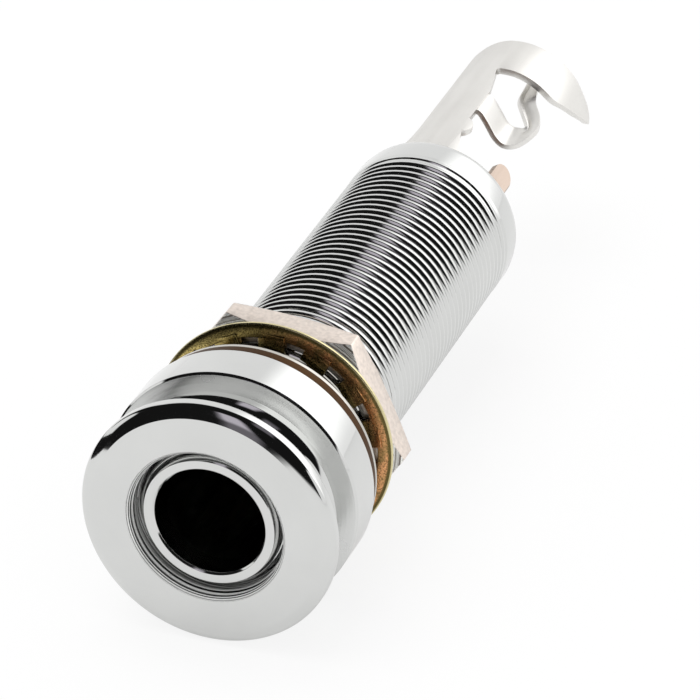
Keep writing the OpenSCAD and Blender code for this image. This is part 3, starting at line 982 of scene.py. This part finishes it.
def tent_tone(lift, side):
    """Tone of the light tent: lift is degrees from the front horizon over the top, side is x by radius.

    The opening in front and the roof are dark, with a grey pole and a grey beam. The cloth behind is white.
    """
    in_left = ramp(-2.46, -2.08, side)
    in_right = 1 - ramp(1.9, 2.2, side)
    horizon = -3 - 9 * ramp(-0.5, -0.9, side)
    in_front = ramp(horizon, horizon + 8, lift)
    roof_end = 122 + 66 * ramp(-1.0, -1.5, side)
    in_back = 1 - ramp(roof_end - 4, roof_end + 4, lift)
    dark = in_left * in_right * in_front * in_back
    lit_right = ramp(-0.1, 0.16, side) * ramp(115, 125, lift) * (1 - 0.85 * ramp(158, 180, lift))
    cloth = Vector((1, 1, 1)) * (1 + 0.75 * lit_right)
    pole_across = ramp(-0.22, -0.17, side) * (1 - ramp(0.02, 0.06, side))
    pole_up = ramp(2, 6, lift) * (1 - ramp(48, 60, lift)) * (0.28 + 0.72 * ramp(12, 24, lift))
    beam = ramp(0.25, 0.32, side) * (1 - ramp(0.55, 0.65, side)) * ramp(60, 80, lift)
    inside = DARK_TONE + POLE_TONE * pole_across * pole_up + BEAM_TONE * beam
    return inside * dark + cloth * (1 - dark)


def light_tent(floor_z):
    """The tent round the jack, and a dark card on the floor at its left, which only reflections show."""
    radius = 0.5
    low_lift, high_lift = -8, 190
    side_reach = 2.6
    rows, columns = 100, 130
    points = []
    tones = []
    for i in range(rows + 1):
        lift = low_lift + (high_lift - low_lift) * i / rows
        y = -radius * math.cos(math.radians(lift))
        z = max(floor_z, radius * math.sin(math.radians(lift)))
        for j in range(columns + 1):
            side = side_reach * (2 * j / columns - 1)
            points.append((side * radius, y, z))
            tones.append(tent_tone(lift, side))
    step = columns + 1
    faces = [(i * step + j, i * step + j + 1, (i + 1) * step + j + 1, (i + 1) * step + j)
             for i in range(rows) for j in range(columns)]
    card_left, card_right = -1.3, -0.05
    card_front, card_back = -0.5, 0.05
    card_z = floor_z + 0.1 * MM
    first = len(points)
    points += [(card_left, card_front, card_z), (card_right, card_front, card_z),
               (card_right, card_back, card_z), (card_left, card_back, card_z)]
    tones += [DARK_TONE] * 4
    faces.append((first, first + 1, first + 2, first + 3))
    mesh = bpy.data.meshes.new("light_tent")
    mesh.from_pydata(points, [], faces)
    tone = mesh.attributes.new("tone", "FLOAT_VECTOR", "POINT")
    for i, value in enumerate(tones):
        tone.data[i].vector = value
    mesh.materials.append(tent_material())
    tent = linked_object(mesh, "light_tent")
    tent.visible_camera = False
    tent.visible_diffuse = False
    tent.visible_shadow = False


def tent_material():
    """A material that shows the tone stored in the tent's mesh, whatever the light."""
    material = bpy.data.materials.new("tent_cloth")
    material.use_nodes = True
    tree = material.node_tree
    tree.nodes.clear()
    stored = add_node(tree, "ShaderNodeAttribute", attribute_name="tone")
    glow = add_node(tree, "ShaderNodeEmission", {"Color": stored.outputs["Vector"], "Strength": 1.0})
    out = add_node(tree, "ShaderNodeOutputMaterial")
    tree.links.new(glow.outputs[0], out.inputs["Surface"])
    return material


def floor_material():
    """White floor: seen as white, with the shadow of the object."""
    glow_seen, glow_reflected = 0.85, 0.5
    material = bpy.data.materials.new("studio_floor")
    material.use_nodes = True
    tree = material.node_tree
    tree.nodes.clear()
    path = add_node(tree, "ShaderNodeLightPath")
    seen = calculate(tree, "MULTIPLY", path.outputs["Is Camera Ray"], glow_seen)
    share = calculate(tree, "MULTIPLY_ADD", path.outputs["Is Glossy Ray"], glow_reflected, seen)
    paper = add_node(tree, "ShaderNodeBsdfDiffuse", {"Color": (0.92, 0.92, 0.92, 1)})
    white = add_node(tree, "ShaderNodeEmission", {"Color": (1, 1, 1, 1), "Strength": 1.0})
    mix = add_node(tree, "ShaderNodeMixShader", {0: share, 1: paper.outputs[0], 2: white.outputs[0]})
    out = add_node(tree, "ShaderNodeOutputMaterial")
    tree.links.new(mix.outputs[0], out.inputs["Surface"])
    return material


def studio_world(fill):
    """White surroundings for the camera and for reflections, and a plain fill for the rest."""
    world = bpy.data.worlds.new("studio")
    world.use_nodes = True
    tree = world.node_tree
    tree.nodes.clear()
    path = add_node(tree, "ShaderNodeLightPath")
    seen = calculate(tree, "MAXIMUM", path.outputs["Is Camera Ray"], path.outputs["Is Glossy Ray"])
    seen = calculate(tree, "MAXIMUM", seen, path.outputs["Is Transmission Ray"])
    soft = add_node(tree, "ShaderNodeBackground", {"Color": (1, 1, 1, 1), "Strength": fill})
    white = add_node(tree, "ShaderNodeBackground", {"Color": (1, 1, 1, 1), "Strength": 1.0})
    mix = add_node(tree, "ShaderNodeMixShader", {0: seen, 1: soft.outputs[0], 2: white.outputs[0]})
    out = add_node(tree, "ShaderNodeOutputWorld")
    tree.links.new(mix.outputs[0], out.inputs["Surface"])
    bpy.context.scene.world = world


def add_floor(floor_z):
    """The white floor."""
    reach = 3.0
    mesh = bpy.data.meshes.new("floor")
    mesh.from_pydata([(-reach, -reach, floor_z), (reach, -reach, floor_z),
                      (reach, reach, floor_z), (-reach, reach, floor_z)], [], [(0, 1, 2, 3)])
    mesh.materials.append(floor_material())
    floor = linked_object(mesh, "floor")


def add_softbox():
    """The soft lamp over the jack, which metal doesn't mirror."""
    aim = Vector((0, 0.02, 0))
    lamp = bpy.data.lights.new("softbox", "AREA")
    lamp.shape = "SQUARE"
    lamp.size = 0.5
    lamp.energy = 1.9
    softbox = linked_object(lamp, "softbox")
    softbox.location = (-0.15, 0.0, 0.6)
    softbox.rotation_mode = "QUATERNION"
    softbox.rotation_quaternion = (aim - softbox.location).to_track_quat("-Z", "Y")
    softbox.visible_glossy = False


def add_camera():
    """The camera of the product view."""
    camera = bpy.data.cameras.new("product_view")
    camera.lens = CAMERA_LENS
    camera.sensor_width = SENSOR
    camera.clip_start = 0.01
    camera.clip_end = 20
    eye = linked_object(camera, "product_view")
    eye.location = CAMERA_PLACE
    back = Vector((
        math.sin(CAMERA_AZIMUTH) * math.cos(CAMERA_ELEVATION),
        -math.cos(CAMERA_AZIMUTH) * math.cos(CAMERA_ELEVATION),
        math.sin(CAMERA_ELEVATION)))
    eye.rotation_mode = "QUATERNION"
    eye.rotation_quaternion = (-back).to_track_quat("-Z", "Y")
    bpy.context.scene.camera = eye


class JACK_OT_stage(bpy.types.Operator):
    """Make the studio: white floor, light tent, soft light, camera"""

    bl_idname = "jack.stage"
    bl_label = "Stage"

    def execute(self, context):
        context.scene.view_settings.view_transform = "Standard"
        floor_z = CAD_BOX[0].z - 0.02 * MM
        add_floor(floor_z)
        studio_world(fill=0.75)
        light_tent(floor_z)
        add_softbox()
        add_camera()
        return {"FINISHED"}


class JACK_PT_pieces(bpy.types.Panel):
    """Lists the jack's pieces"""

    bl_idname = "JACK_PT_pieces"
    bl_label = "Phone jack"
    bl_space_type = "VIEW_3D"
    bl_region_type = "UI"
    bl_category = "Jack"

    def draw(self, context):
        for piece in PIECES:
            self.layout.operator(piece.bl_idname)


PIECES = (
    JACK_OT_barrel, JACK_OT_strap_button, JACK_OT_flat_washer, JACK_OT_lock_washer, JACK_OT_nut,
    JACK_OT_sleeve_terminal, JACK_OT_contacts, JACK_OT_insulators, JACK_OT_stage)
CLASSES = (JackSizes, JackColours) + PIECES + (JACK_PT_pieces,)


def register():
    """Adds the classes and the scene's settings."""
    for cls in CLASSES:
        bpy.utils.register_class(cls)
    bpy.types.Scene.jack_sizes = bpy.props.PointerProperty(type=JackSizes)
    bpy.types.Scene.jack_colours = bpy.props.PointerProperty(type=JackColours)


def unregister():
    """Takes the settings and the classes away."""
    del bpy.types.Scene.jack_colours
    del bpy.types.Scene.jack_sizes
    for cls in reversed(CLASSES):
        bpy.utils.unregister_class(cls)


def main():
    """Builds every piece and the stage."""
    register()
    bpy.ops.jack.barrel()
    bpy.ops.jack.strap_button()
    bpy.ops.jack.flat_washer()
    bpy.ops.jack.lock_washer()
    bpy.ops.jack.nut()
    bpy.ops.jack.sleeve_terminal()
    bpy.ops.jack.contacts()
    bpy.ops.jack.insulators()
    bpy.ops.jack.stage()


if __name__ == "__main__":
    main()
